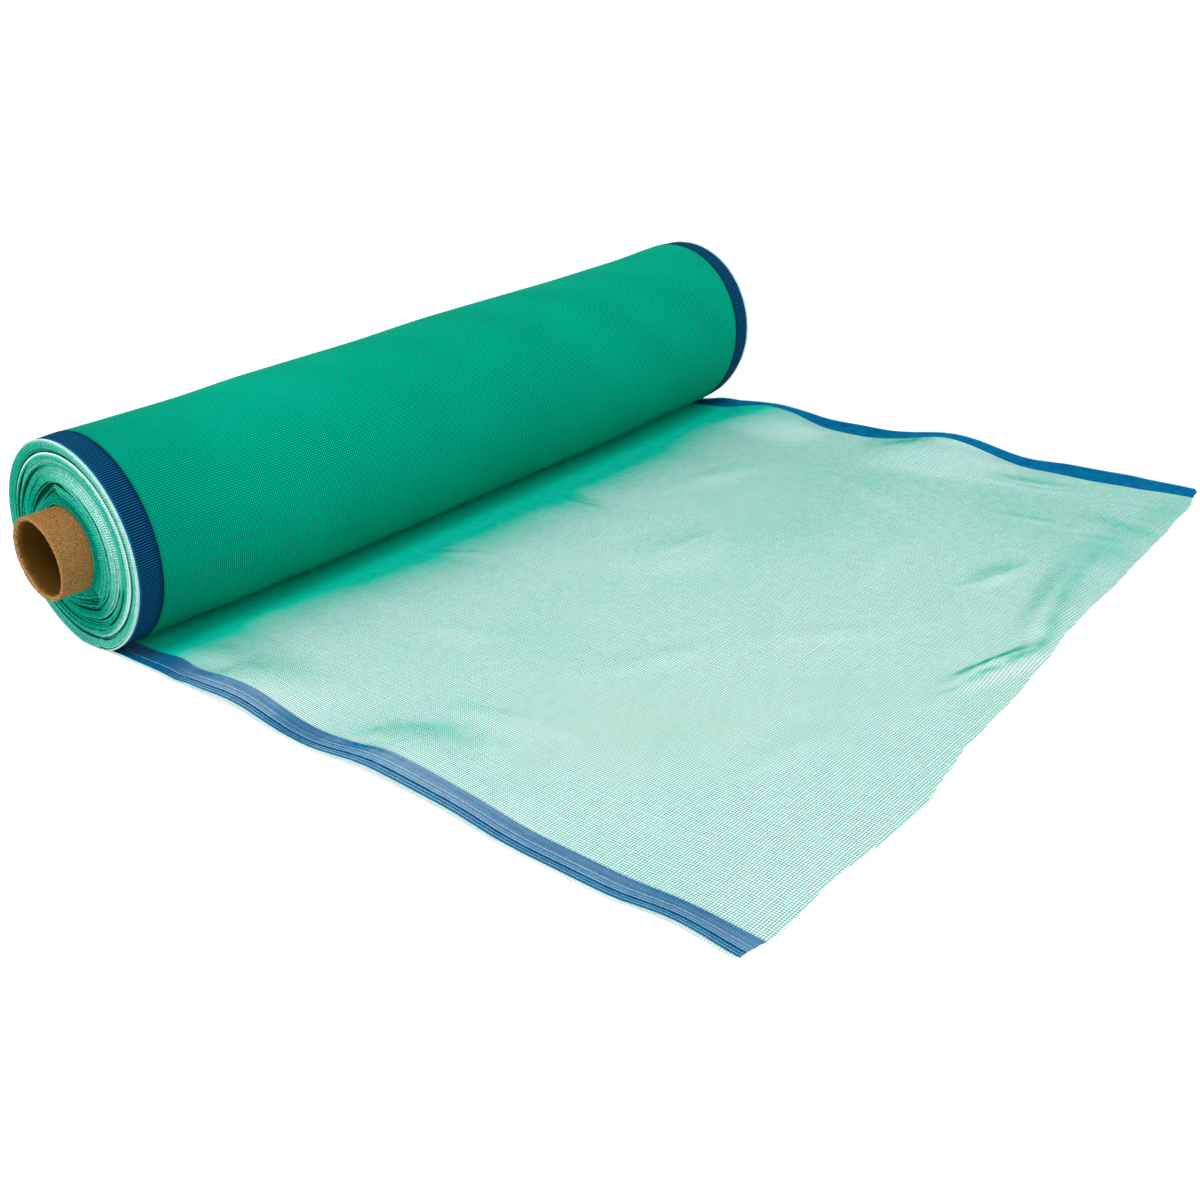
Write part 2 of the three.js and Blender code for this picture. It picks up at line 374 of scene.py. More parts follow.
def mesh_from(name, points, faces, *materials):
    """A smooth mesh from millimetre points, faces and materials."""
    mesh = bpy.data.meshes.new(name)
    mesh.from_pydata((np.reshape(points, (-1, 3)) * MM).tolist(), [], faces)
    mesh.update()
    mesh.shade_smooth()
    for material in materials:
        mesh.materials.append(material)
    return mesh


def grid_faces(rows, columns, close_rows=False, close_columns=False):
    """Quads between neighbouring rows and columns of points."""
    i = np.arange(rows if close_rows else rows - 1)[:, None]
    j = np.arange(columns if close_columns else columns - 1)[None, :]
    up, right = (i + 1) % rows, (j + 1) % columns
    corners = [i * columns + j, up * columns + j, up * columns + right, i * columns + right]
    return np.stack(np.broadcast_arrays(*corners), -1).reshape(-1, 4).tolist()


def add_uv(mesh, name, across, along):
    """A UV map in metres from two values for each point."""
    values = np.stack([across, along], -1).reshape(-1, 2) * MM
    corner = np.zeros(len(mesh.loops), np.int32)
    mesh.loops.foreach_get("vertex_index", corner)
    layer = mesh.uv_layers.new(name=name)
    layer.data.foreach_set("uv", values[corner].astype(np.float32).ravel())


def add_value(mesh, name, values):
    attribute = mesh.attributes.new(name, "FLOAT", "POINT")
    attribute.data.foreach_set("value", np.asarray(values, np.float32).ravel())


def finish_piece(piece, slot, *nodes):
    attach(piece, "root")
    if nodes:
        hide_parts(*nodes)
    return piece


# Node trees and materials


class Tree:
    """A short way to write a node tree."""

    def __init__(self, tree):
        self.tree = tree

    def add(self, kind, inputs=None, **settings):
        node = self.tree.nodes.new(kind)
        for key, value in settings.items():
            setattr(node, key, value)
        for key, value in (inputs or {}).items():
            self.put(node.inputs[key], value)
        return node

    def out(self, kind, inputs=None, **settings):
        """The first output of a new node."""
        return self.add(kind, inputs, **settings).outputs[0]

    def put(self, socket, value):
        if isinstance(value, bpy.types.NodeSocket):
            self.tree.links.new(value, socket)
        elif isinstance(value, tuple) and len(value) == 3 and len(socket.default_value) == 4:
            socket.default_value = (*value, 1)
        else:
            socket.default_value = value

    def math(self, operation, *values):
        return self.out("ShaderNodeMath", dict(enumerate(values)), operation=operation)

    def times(self, first, second):
        return self.math("MULTIPLY", first, second)


class Nodes(Tree):
    """A material's node tree."""

    def __init__(self, name):
        self.material = bpy.data.materials.new(name)
        self.material.use_nodes = True
        super().__init__(self.material.node_tree)
        self.tree.nodes.clear()
        self.output = self.tree.nodes.new("ShaderNodeOutputMaterial")

    def ramp(self, value, low, high, to_low=0.0, to_high=1.0):
        """A smooth step of a value."""
        inputs = {"Value": value, "From Min": low, "From Max": high, "To Min": to_low, "To Max": to_high}
        return self.out("ShaderNodeMapRange", inputs, interpolation_type="SMOOTHSTEP")

    def mix(self, share, first, second):
        """A mix of two colours."""
        return self.add("ShaderNodeMix", {0: share, 6: first, 7: second}, data_type="RGBA").outputs[2]

    def blend(self, share, first, second):
        """A mix of two numbers."""
        return self.out("ShaderNodeMix", {0: share, 2: first, 3: second}, data_type="FLOAT")

    def between(self, value, low, high, soft=0.3 * MM):
        """1 where a value lies between two others, with soft ends."""
        up = self.ramp(value, low - soft, low + soft)
        return self.times(up, self.ramp(value, high - soft, high + soft, 1, 0))

    def noise(self, where, scale, detail=2.0, roughness=0.5):
        inputs = {"Vector": where, "Scale": scale, "Detail": detail, "Roughness": roughness}
        return self.add("ShaderNodeTexNoise", inputs).outputs["Fac"]

    def stretched(self, where, scale, turn=0.0):
        inputs = {"Vector": where, "Scale": scale, "Rotation": (0, 0, math.radians(turn))}
        return self.out("ShaderNodeMapping", inputs)

    def value(self, name):
        return self.add("ShaderNodeAttribute", attribute_name=name).outputs["Fac"]

    def place(self):
        return self.add("ShaderNodeTexCoord").outputs["Object"]

    def uv(self, name):
        return self.add("ShaderNodeUVMap", uv_map=name).outputs["UV"]

    def split(self, vector):
        node = self.add("ShaderNodeSeparateXYZ", {"Vector": vector})
        return node.outputs[0], node.outputs[1], node.outputs[2]

    def bump(self, height, distance, strength=1.0):
        inputs = {"Height": height, "Distance": distance, "Strength": strength}
        return self.out("ShaderNodeBump", inputs)

    def surface(self, colour, roughness, specular, more=None):
        inputs = {"Base Color": colour, "Roughness": roughness, "Specular IOR Level": specular}
        return self.out("ShaderNodeBsdfPrincipled", inputs | (more or {}))

    def done(self, surface):
        self.tree.links.new(surface, self.output.inputs["Surface"])
        return self.material


# Colours, linear
GREEN_YARN = (0.0, 0.45, 0.282)
GREEN_LIGHT = (0.0, 0.5, 0.32)
GREEN_GAP = (0.0, 0.12, 0.075)
GREEN_DEEP = (0.0, 0.035, 0.022)
NET_YARN = (0.0, 0.4, 0.295)
NET_YARN_LIGHT = (0.02, 0.5, 0.385)
NAVY_YARN = (0.008, 0.118, 0.25)
NAVY_GAP = (0.0, 0.012, 0.045)
BLUE_YARN = (0.0, 0.13, 0.3)
BLUE_LIGHT = (0.0, 0.17, 0.36)
BLUE_DARK = (0.0, 0.08, 0.22)
OPEN_BLUE = (0.02, 0.2, 0.42)
OPEN_WEFT = (0.09, 0.34, 0.57)
OPEN_WEFT_LIGHT = (0.25, 0.54, 0.76)
WHITE_SHADE = (0.55, 0.75, 0.8)
WHITE = (0.75, 0.88, 0.9)
LOOP_MINT = (0.16, 0.55, 0.43)
LOOP_MINT_LIGHT = (0.36, 0.72, 0.6)
RIM_LOOP_SHADE = (0.45, 0.76, 0.68)
RIM_LOOP_LIGHT = (0.7, 0.9, 0.85)
# Painted shade: the dark green of the turns deep in the end faces' gaps
GAP_SHADE_DARK = (0.0, 0.06, 0.04)
GAP_SHADE_LIGHT = (0.0, 0.13, 0.085)
TURN_SHADE = (0.0, 0.17, 0.11)
TURN_GREEN = (0.0, 0.38, 0.255)
MINT = (0.13, 0.57, 0.46)
PALE_MINT = (0.62, 0.88, 0.81)
FILM_MINT = (0.02, 0.61, 0.49)
# Painted shade: the loose net's green where the roll's shadow is painted into it
FILM_SHADE = (0.0, 0.76, 0.57)
# Painted light: a brighter green at the roll's foot, inside the roll's painted shadow
FILM_FOOT_LIGHT = (0.0, 0.97, 0.72)
# Painted shade: the loose net in its creases, where it also doubles over
FILM_CREASE_SHADE = (0.0, 0.44, 0.3)
FILM_HOLES = (0.0, 0.2, 0.13)
# Painted shade: the loose net's yarns where the roll's shadow is painted in
YARN_ROLL_SHADOW_GREEN = (0.0, 0.8, 0.57)
BOARD_DARK = (0.17, 0.075, 0.018)
BOARD_LIGHT = (0.44, 0.225, 0.078)
BOARD_BLOTCH = (0.25, 0.13, 0.045)
BOARD_SEAM = (0.1, 0.05, 0.02)
# Painted shade: the cardboard inside the bore
BORE_SHADE_DARK = (0.07, 0.032, 0.004)
BORE_SHADE_LIGHT = (0.12, 0.056, 0.009)
TORN = (0.52, 0.32, 0.15)
FLOOR_SHADE = (0.35, 0.35, 0.35)
FLOOR_WHITE = (0.37, 0.37, 0.37)


def yarn_lines(n, place, pitch, edge):
    """Ridges of parallel yarns across one coordinate, 1 on a yarn and 0 in the gap."""
    soft = 0.25
    saw = n.math("PINGPONG", n.math("DIVIDE", place, pitch * MM), 0.5)
    return n.ramp(n.times(saw, 2.0), edge - soft, edge + soft)


def woven_height(n, around, across):
    """The height of a plain weave, with its yarns passing over and under."""
    edge, level, wave = 0.6, 0.75, 0.25
    weft = yarn_lines(n, around, WEFT_PITCH, edge)
    warp = yarn_lines(n, across, WARP_PITCH, edge)
    wave_around = n.math("COSINE", n.times(around, math.pi / (WEFT_PITCH * MM)))
    wave_across = n.math("COSINE", n.times(across, math.pi / (WARP_PITCH * MM)))
    over = n.times(n.times(wave_around, wave_across), wave)
    high = n.times(weft, n.math("ADD", over, level))
    low = n.times(warp, n.math("SUBTRACT", level, over))
    return n.math("MAXIMUM", high, low)


def wound_net_material():
    """Skin of the roll: green net over many layers of itself, navy selvedges, a bright blue and mint rim."""
    n = Nodes("wound_net")
    cloth = n.uv("cloth")
    around, across, _ = n.split(cloth)
    weave = woven_height(n, around, across)
    under_around, under_across, _ = n.split(n.stretched(cloth, (0.985, 1.02, 1), 1.1))
    under = woven_height(n, under_around, under_across)
    cloudy = n.noise(n.place(), 7, 3)
    gap = n.mix(n.ramp(under, 0.1, 0.8), GREEN_DEEP, GREEN_GAP)
    green = n.mix(n.ramp(weave, 0.12, 0.72), gap, GREEN_YARN)
    green = n.mix(n.ramp(cloudy, 0.35, 0.75, 0, 0.14), green, GREEN_LIGHT)
    _, y, _ = n.split(n.place())
    green = n.mix(n.ramp(y, -480 * MM, -280 * MM, 0.22, 0), green, gap)
    dashes = n.times(yarn_lines(n, around, WEFT_PITCH, 0.55), n.ramp(weave, 0.2, 0.85, 0.15, 1))
    navy = n.mix(dashes, NAVY_GAP, NAVY_YARN)
    from_edge = n.math("MINIMUM", across, n.math("SUBTRACT", NET_WIDTH * MM, across))
    navy = n.mix(n.ramp(from_edge, 3 * MM, 5 * MM, 0.55, 0), navy, BLUE_LIGHT)
    navy = n.mix(n.ramp(from_edge, 22 * MM, 29 * MM, 0, 0.6), navy, NAVY_GAP)
    green = n.mix(n.ramp(from_edge, 29 * MM, 33 * MM, 0.4, 0), green, GREEN_DEEP)
    colour = n.mix(n.ramp(from_edge, 28.6 * MM, 29.6 * MM, 1, 0), green, navy)
    colour = n.mix(n.ramp(from_edge, 1.6 * MM, 2.4 * MM, 1, 0), colour, PALE_MINT)
    rough = n.ramp(weave, 0.0, 1.0, 0.9, 0.75)
    return n.done(n.surface(colour, rough, 0.01, {"Normal": n.bump(weave, 0.4 * MM, 0.9)}))


def turn_edge_material():
    """Edges of the wound turns: green cloth with the pale loops of its edge, painted darker where they are
    set back, as shade.
    """
    n = Nodes("turn_edges")
    speckle = n.noise(n.place(), 420, 2)
    pale = n.math("ADD", n.value("pale"), n.ramp(speckle, 0.3, 0.7, -0.1, 0.1))
    colour = n.mix(n.ramp(pale, -0.5, 0.05), TURN_SHADE, TURN_GREEN)
    colour = n.mix(n.ramp(pale, 0.1, 0.55), colour, MINT)
    colour = n.mix(n.ramp(pale, 0.55, 1.0), colour, PALE_MINT)
    # Painted shade: darker where the turns are set back into the face
    colour = n.mix(n.ramp(n.value("sunk"), 0.2, 1.0, 0, 0.6), colour, GAP_SHADE_LIGHT)
    rough = n.ramp(speckle, 0.2, 0.8, 0.85, 0.7)
    return n.done(n.surface(colour, rough, 0.02, {"Normal": n.bump(speckle, 0.25 * MM, 0.5)}))


def inner_turn_material():
    """Sides of the turns, deep in the gaps of the end faces, painted dark green as shade."""
    n = Nodes("inner_turns")
    grain = n.noise(n.place(), 300, 3)
    colour = n.mix(n.ramp(grain, 0.3, 0.7), GAP_SHADE_DARK, GAP_SHADE_LIGHT)
    return n.done(n.surface(colour, n.ramp(grain, 0.3, 0.7, 0.9, 0.7), 0.05))


def film_material():
    """The loose net's own haze: see-through mint, painted dense and green beside the roll as the roll's
    shadow, blue in the selvedges, and darker in its creases as painted shade.
    """
    n = Nodes("loose_net")
    cloth = n.uv("cloth")
    around, across, _ = n.split(cloth)
    shade = n.value("shade")
    crease = n.value("crease")
    from_far = n.math("SUBTRACT", NET_WIDTH * MM, across)
    band = (FRINGE * MM, (FRINGE + BLUE_WIDTH) * MM)
    near_band = n.between(across, *band)
    far_band = n.between(from_far, 1.5 * MM, band[1])
    weave = woven_height(n, around, across)
    streak = n.noise(n.stretched(cloth, (6, 40, 1)), 1, 3)
    # The near selvedge is dense and blue beside the roll: painted shadow
    open_weave = n.times(open_selvedge_outside_roll_shadow(n, around), n.ramp(across, 9 * MM, 13 * MM))
    open_weave = n.times(open_weave, n.ramp(streak, 0.3, 0.55, 0.45, 1))
    x, _, _ = n.split(n.place())
    # Painted shadow of the roll: a dense green beside it
    green = n.mix(n.ramp(shade, 0.2, 1.0), FILM_MINT, FILM_SHADE)
    # Painted light: brighter green at the roll's foot
    green = n.mix(n.times(shade, n.ramp(x, 45 * MM, 110 * MM, 1, 0)), green, FILM_FOOT_LIGHT)
    # Painted shade in the creases, where the cloth also doubles over
    green = n.mix(n.ramp(crease, 0.0, 1.0, 0, 0.9), green, FILM_CREASE_SHADE)
    green = n.mix(n.ramp(weave, 0.0, 0.8, 0.3, 0), green, FILM_HOLES)
    colour = n.mix(near_band, green, n.mix(open_weave, BLUE_YARN, OPEN_BLUE))
    colour = n.mix(far_band, colour, BLUE_YARN)
    # Opacity: nearly full where the roll's shadow is painted, and in the creases' painted shade
    thick = n.math("ADD", n.blend(shade, PLAIN_HAZE, 0.99), n.value("haze"))
    thick = n.blend(crease, thick, 0.92)
    thick = n.math("ADD", thick, n.ramp(n.noise(n.place(), 8, 3), 0.35, 0.75, -0.03, 0.05))
    thick = n.math("MAXIMUM", thick, n.ramp(shade, 0.8, 1.0, 0, 1))
    thick = n.blend(near_band, thick, n.blend(open_weave, 0.95, 0.5))
    thick = n.blend(far_band, thick, 0.97)
    fringe = n.ramp(across, (FRINGE - 0.6) * MM, FRINGE * MM, 1, 0)
    thick = n.blend(fringe, thick, 0.0)
    rough = n.ramp(weave, 0.0, 1.0, 0.85, 0.7)
    net = n.surface(colour, rough, 0.0, {"Normal": n.bump(weave, 0.3 * MM, 0.6)})
    clear = n.out("ShaderNodeBsdfTransparent")
    return n.done(n.out("ShaderNodeMixShader", {0: thick, 1: clear, 2: net}))


def open_selvedge_outside_roll_shadow(n, x):
    """Where along the loose end the near selvedge looks open and pale: not beside the roll, where it is
    painted dense and dark blue as the roll's shadow, and less so from 285 to 350 mm and past 500 mm.
    """
    share = n.times(n.ramp(x, 100 * MM, 190 * MM), n.ramp(x, 500 * MM, 620 * MM, 1, 0.75))
    return n.times(share, n.ramp(n.between(x, 285 * MM, 350 * MM, 25 * MM), 0, 1, 1, 0.45))


# Monofilament: the scale of the slow changes of shade along a yarn, and its roughness from dark to light
YARN_GRAIN = 90
PALE_YARN_GRAIN = 160
YARN_ROUGHNESS = (0.7, 0.5)
PALE_YARN_ROUGHNESS = (0.6, 0.45)


def yarn_shades(n, scale, dark, light):
    """A yarn's grain, and its colour from dark to light."""
    grain = n.noise(n.place(), scale, 2)
    return grain, n.mix(n.ramp(grain, 0.3, 0.7), dark, light)


def yarn_finish(n, grain, colour, roughness=YARN_ROUGHNESS):
    return n.done(n.surface(colour, n.ramp(grain, 0.3, 0.7, *roughness), 0.03))


def yarn_material(name, dark, light):
    """Yarns of one colour all along."""
    n = Nodes(name)
    return yarn_finish(n, *yarn_shades(n, YARN_GRAIN, dark, light))


def net_yarn_material():
    """The loose end's green yarns, painted a brighter green beside the roll, as part of the roll's shadow
    painted on the net.
    """
    n = Nodes("green_yarn")
    x, _, _ = n.split(n.place())
    grain, green = yarn_shades(n, YARN_GRAIN, NET_YARN, NET_YARN_LIGHT)
    # Painted shade: the yarns' green beside the roll
    return yarn_finish(n, grain, n.mix(n.ramp(x, 60 * MM, 125 * MM, 1, 0), green, YARN_ROLL_SHADOW_GREEN))


def pale_yarn_material(name, dark, light):
    """Pale yarns of the near selvedge, painted blue beside the roll as the roll's shadow, and bluer where the
    selvedge looks less open further along.
    """
    n = Nodes(name)
    x, _, _ = n.split(n.place())
    grain, pale = yarn_shades(n, PALE_YARN_GRAIN, dark, light)
    # Painted shade: blue beside the roll
    return yarn_finish(n, grain, n.mix(open_selvedge_outside_roll_shadow(n, x), BLUE_YARN, pale), PALE_YARN_ROUGHNESS)


# How far the seam of the core's spiral winding moves along it in one turn
SEAM_PITCH = 85


def board_material():
    """Brown cardboard with fibres, the seam of its spiral winding and a pale torn edge, darkened inside the
    bore as painted shade.
    """
    n = Nodes("cardboard")
    x, y, z = n.split(n.place())
    turn = n.math("ARCTAN2", n.math("SUBTRACT", z, CORE_AXIS_Z * MM), x)
    turn = n.math("DIVIDE", turn, 2 * math.pi)
    winding = n.math("FRACT", n.math("ADD", turn, n.math("DIVIDE", y, SEAM_PITCH * MM)))
    seam = n.ramp(n.math("ABSOLUTE", n.math("SUBTRACT", winding, 0.5)), 0.005, 0.014, 1, 0)
    fibre = n.noise(n.stretched(n.place(), (1, 0.6, 1)), 800, 5, 0.7)
    blotch = n.noise(n.place(), 34, 3)
    colour = n.mix(n.ramp(fibre, 0.34, 0.66), BOARD_DARK, BOARD_LIGHT)
    colour = n.mix(n.ramp(blotch, 0.35, 0.7, 0, 0.25), colour, BOARD_BLOTCH)
    colour = n.mix(n.times(seam, 0.3), colour, BOARD_SEAM)
    # Painted shade inside the bore
    colour = n.mix(n.value("inside"), colour, n.mix(n.ramp(fibre, 0.3, 0.7), BORE_SHADE_DARK, BORE_SHADE_LIGHT))
    torn = n.times(n.value("torn"), n.ramp(fibre, 0.35, 0.6, 0.2, 1))
    colour = n.mix(n.ramp(torn, 0.35, 1.0), colour, TORN)
    height = n.math("SUBTRACT", fibre, n.times(seam, 0.5))
    rough = n.ramp(fibre, 0.2, 0.8, 0.95, 0.85)
    return n.done(n.surface(colour, rough, 0.02, {"Normal": n.bump(height, 0.4 * MM, 0.45)}))


# The pale floor's own light, which keeps it near white
FLOOR_GLOW = 0.76


def floor_material():
    n = Nodes("floor_white")
    colour = n.mix(n.noise(n.place(), 2, 2), FLOOR_SHADE, FLOOR_WHITE)
    glow = {"Emission Color": (1, 1, 1), "Emission Strength": FLOOR_GLOW}
    return n.done(n.surface(colour, 0.95, 0.0, glow))


# Yarns and loops, by Geometry Nodes


def new_tree(name, *inputs):
    """A geometry tree and what it is given: a material and other inputs, as (name, socket type, default)."""
    tree = bpy.data.node_groups.new(name, "GeometryNodeTree")
    tree.interface.new_socket("Geometry", in_out="INPUT", socket_type="NodeSocketGeometry")
    tree.interface.new_socket("Material", in_out="INPUT", socket_type="NodeSocketMaterial")
    for label, kind, default in inputs:
        socket = tree.interface.new_socket(label, in_out="INPUT", socket_type="NodeSocket" + kind)
        socket.default_value = default
    tree.interface.new_socket("Geometry", in_out="OUTPUT", socket_type="NodeSocketGeometry")
    return Tree(tree), tree.nodes.new("NodeGroupInput").outputs


def finish_tree(g, given, shape):
    """The end of every tree: its shape made real and painted."""
    real = g.out("GeometryNodeRealizeInstances", {0: shape})
    painted = g.out("GeometryNodeSetMaterial", {"Geometry": real, "Material": given["Material"]})
    g.add("NodeGroupOutput", {0: painted})
    return g.tree


def tube_along(g, lines, sides, radius, caps=False):
    """A tube along curves, with or without closed ends."""
    ring = g.out("GeometryNodeCurvePrimitiveCircle", {"Resolution": sides, "Radius": radius})
    return g.out("GeometryNodeCurveToMesh", {"Curve": lines, "Profile Curve": ring, "Fill Caps": caps})


def yarn_tree():
    """Every line of edges becomes a closed yarn."""
    g, given = new_tree("yarns", ("Radius", "Float", YARN_RADIUS * MM), ("Sides", "Int", 3))
    lines = g.out("GeometryNodeMeshToCurve", {"Mesh": given["Geometry"]})
    return finish_tree(g, given, tube_along(g, lines, given["Sides"], given["Radius"], caps=True))


# Edge loops: corners of a loop and of its section, and how much the loops differ in length
LOOP_CORNERS = 7
LOOP_SIDES = 3
LOOP_SHORTEST = 0.8
LOOP_LONGEST = 1.15


def loop_tree():
    """Small loops of weft along an edge, one for each pitch, standing out along a direction."""
    g, given = new_tree(
        "edge_loops",
        ("Spacing", "Float", WEFT_PITCH * MM),
        ("Reach", "Vector", (0, -FRINGE * MM, 0)),
        ("Length", "Float", FRINGE * MM),
        ("Radius", "Float", YARN_RADIUS * MM),
        ("Seed", "Int", SEED),
    )
    path = g.out("GeometryNodeMeshToCurve", {"Mesh": given["Geometry"]})
    inputs = {"Curve": path, "Length": given["Spacing"]}
    even = g.out("GeometryNodeResampleCurve", inputs, mode="LENGTH")
    inputs = {"Resolution": LOOP_CORNERS, "Radius": 0.5}
    loop = g.out("GeometryNodeCurvePrimitiveCircle", inputs)
    tangent = g.out("GeometryNodeInputTangent")
    along = g.out("FunctionNodeAlignRotationToVector", {"Vector": tangent}, axis="X")
    inputs = {"Rotation": along, "Vector": given["Reach"]}
    outward = g.out("FunctionNodeAlignRotationToVector", inputs, axis="Y", pivot_axis="X")
    inputs = {2: LOOP_SHORTEST, 3: LOOP_LONGEST, "Seed": given["Seed"]}
    share = g.add("FunctionNodeRandomValue", inputs, data_type="FLOAT").outputs[1]
    inputs = {0: given["Spacing"], 1: g.times(given["Length"], share), 2: 1}
    size = g.out("ShaderNodeCombineXYZ", inputs)
    inputs = {"Points": even, "Instance": loop, "Rotation": outward, "Scale": size}
    loops = g.out("GeometryNodeInstanceOnPoints", inputs)
    loops = g.out("GeometryNodeRealizeInstances", {0: loops})
    tubes = tube_along(g, loops, LOOP_SIDES, given["Radius"])
    half = g.out("ShaderNodeVectorMath", {0: given["Reach"], "Scale": 0.5}, operation="SCALE")
    moved = g.out("GeometryNodeSetPosition", {"Geometry": tubes, "Offset": half})
    return finish_tree(g, given, moved)


def grow(name, tree, lines, **values):
    """Runs a tree on lines, each an array of points, and gives the result as a plain piece."""
    points = np.vstack(lines) * MM
    starts = np.cumsum([0] + [len(line) for line in lines])
    edges = [(i, i + 1) for a, b in zip(starts[:-1], starts[1:]) for i in range(a, b - 1)]
    source = bpy.data.meshes.new(name + "_lines")
    source.from_pydata(points.tolist(), edges, [])
    piece = new_object(name, source)
    modifier = piece.modifiers.new("grow", "NODES")
    modifier.node_group = tree
    for item in tree.interface.items_tree:
        if item.in_out == "INPUT" and item.name in values:
            modifier[item.identifier] = values[item.name]
    graph = bpy.context.evaluated_depsgraph_get()
    mesh = bpy.data.meshes.new_from_object(piece.evaluated_get(graph))
    piece.modifiers.clear()
    piece.data = mesh
    mesh.name = name
    mesh.shade_smooth()
    return piece


def make_yarns(name, tree, lines, radius, sides, material):
    return grow(name, tree, lines, Radius=radius * MM, Sides=sides, Material=material)


# Pieces


def make_core(material):
    """The cardboard core, with a torn rim at the end that shows."""
    around = 160
    angle = np.linspace(0, 2 * np.pi, around, endpoint=False)
    near, far = CORE_LOW.y / MM, CORE_HIGH.y / MM
    jag = np.abs(ripple((angle * 9,), 5, 0.4)) + np.abs(random.normal(0, 0.3, around))
    bite = np.abs(ripple((angle * 5,), 4, 0.8)) + np.abs(random.normal(0, 0.35, around))
    middle = (CORE_OUTSIDE + CORE_BORE) / 2
    # Each ring: where it is along the core, its radius, how torn it is and how far inside the bore, which
    # sets how much painted shade it takes
    rings = [
        (near + 0.9 + jag * 0.3, CORE_OUTSIDE - 0.02, 0, 0),
        (near + 0.4 + jag * 0.7, CORE_OUTSIDE - 0.3 - 0.25 * jag, 1, 0),
        (near + 0.1 + bite * 0.5, middle + 1.2 - 0.3 * bite, 0.45, 0),
        (near + 0.5 + jag * 0.8, middle + 0.2 - 0.3 * bite, 1, 0.1),
        (near + 1.2 + bite * 1.3, middle - 1.1 + 0.4 * bite, 0.8, 0.35),
        (near + 3.2 + bite * 2.2, CORE_BORE + 0.35, 0.1, 0.9),
    ]
    rings += [(y, CORE_BORE, 0, 1) for y in np.linspace(near + 9, far - 6, 26)]
    rings += [(far - 0.4, CORE_BORE + 0.1, 0.5, 0.6), (far, CORE_BORE + 0.6, 1, 0.1)]
    rings += [(far, CORE_OUTSIDE - 0.5, 1, 0), (far - 0.5, CORE_OUTSIDE, 0.5, 0)]
    outside = [*np.linspace(far - 6, near + 40, 22), *np.linspace(near + 34, near + 5, 6)]
    rings += [(y, CORE_OUTSIDE, 0, 0) for y in outside]
    points, torn, inside = [], [], []
    for y, radius, tear, deep in rings:
        y, radius = np.broadcast_to(y, around), np.broadcast_to(radius, around)
        ring = [radius * np.cos(angle), y, CORE_AXIS_Z + radius * np.sin(angle)]
        points.append(np.stack(ring, -1))
        torn += [tear] * around
        inside += [deep] * around
    faces = grid_faces(len(rings), around, close_rows=True, close_columns=True)
    mesh = mesh_from("core_board", points, [face[::-1] for face in faces], material)
    add_value(mesh, "torn", torn)
    add_value(mesh, "inside", inside)
    return finish_piece(new_object("core_board", mesh), "cardboard", "core_tube")


# Lines round the roll: close together at its rims and at the inner sides of its selvedges
RIM_LINES = [500, 499.2, 497.6, 496, 492, 485, 478, 474, 472, 470, 468, 464, 456]
# By distance from the middle of the roll: how its rims round off, and how its selvedges stand out
RIM_CUT = ([496, 499.2, 500], [0, 0.5, 1.1])
SELVEDGE_SWELL = ([470, 472, 497, 500], [0, 0.35, 0.35, 0])
DENT_LENGTH = 90
DENT_DEPTH = 0.28
# How far the end faces lie behind the edges of the turns
FACE_BEHIND = 2.6


def make_roll(skin, inner):
    """The roll's skin with its end faces and bore, as one closed body."""
    # From where the last turn leaves the roll, over its top and back under it
    angles = np.linspace(LEAVING_ANGLE + LEAVING_SLOPE, LEAVING_ANGLE + 360, 181)
    floors = np.where((angles < 0) & (angles > LEAVING_ANGLE), NET_LIFT, 0)
    floors[-1] = 0
    lines = np.concatenate([-np.array(RIM_LINES), np.linspace(-440, 440, 67), RIM_LINES[::-1]])
    cut = np.interp(np.abs(lines), *RIM_CUT)
    swell = np.interp(np.abs(lines), *SELVEDGE_SWELL)
    dents = ripple((lines[:, None] / DENT_LENGTH, np.radians(angles)[None, :] * 2), 6, DENT_DEPTH)
    dents *= smoothstep(HALF_WIDTH - np.abs(lines), 0, 60)[:, None]
    rings = []
    for line, out in zip(lines, (swell - cut)[:, None] + dents, strict=True):
        x, y, z = rim_point(line, angles, floors)
        out = np.where(z > NET_LIFT + 0.05, out, 0)
        turn = np.radians(angles)
        rings.append(np.stack([x + out * np.cos(turn), y, z + out * np.sin(turn)], -1))
    across = list(lines + HALF_WIDTH)
    on_end = [False] * len(rings)
    for side in (1, -1):
        face = []
        for share in np.linspace(0.03, 1, 24):
            depth = setback(share * face_depth(angles), angles) + FACE_BEHIND
            face.append(np.stack(end_point(side, share, angles, depth), -1))
        rings += face if side == 1 else face[::-1]
        on_end += [True] * len(face)
        across += [NET_WIDTH if side == 1 else 0] * len(face)
    count = len(angles)
    mesh = mesh_from("wound_net", rings, grid_faces(len(rings), count, True, True), skin, inner)
    middle = rings[len(lines) // 2][:, [0, 2]]
    around = np.concatenate([[0], np.cumsum(np.hypot(*np.diff(middle, axis=0).T))])
    add_uv(mesh, "cloth", np.tile(around, len(rings)), np.repeat(across, count))
    # The end faces behind the turns take the gaps' painted shade
    mesh.polygons.foreach_set("material_index", np.repeat(on_end, count).astype(np.int32))
    return finish_piece(new_object("wound_net", mesh), "wound_net", "wound_roll")


# The spiral of turns on an end face, from its rim to the bore
SPIRAL_RADIUS = 112
SPIRAL_DEPTH = 67


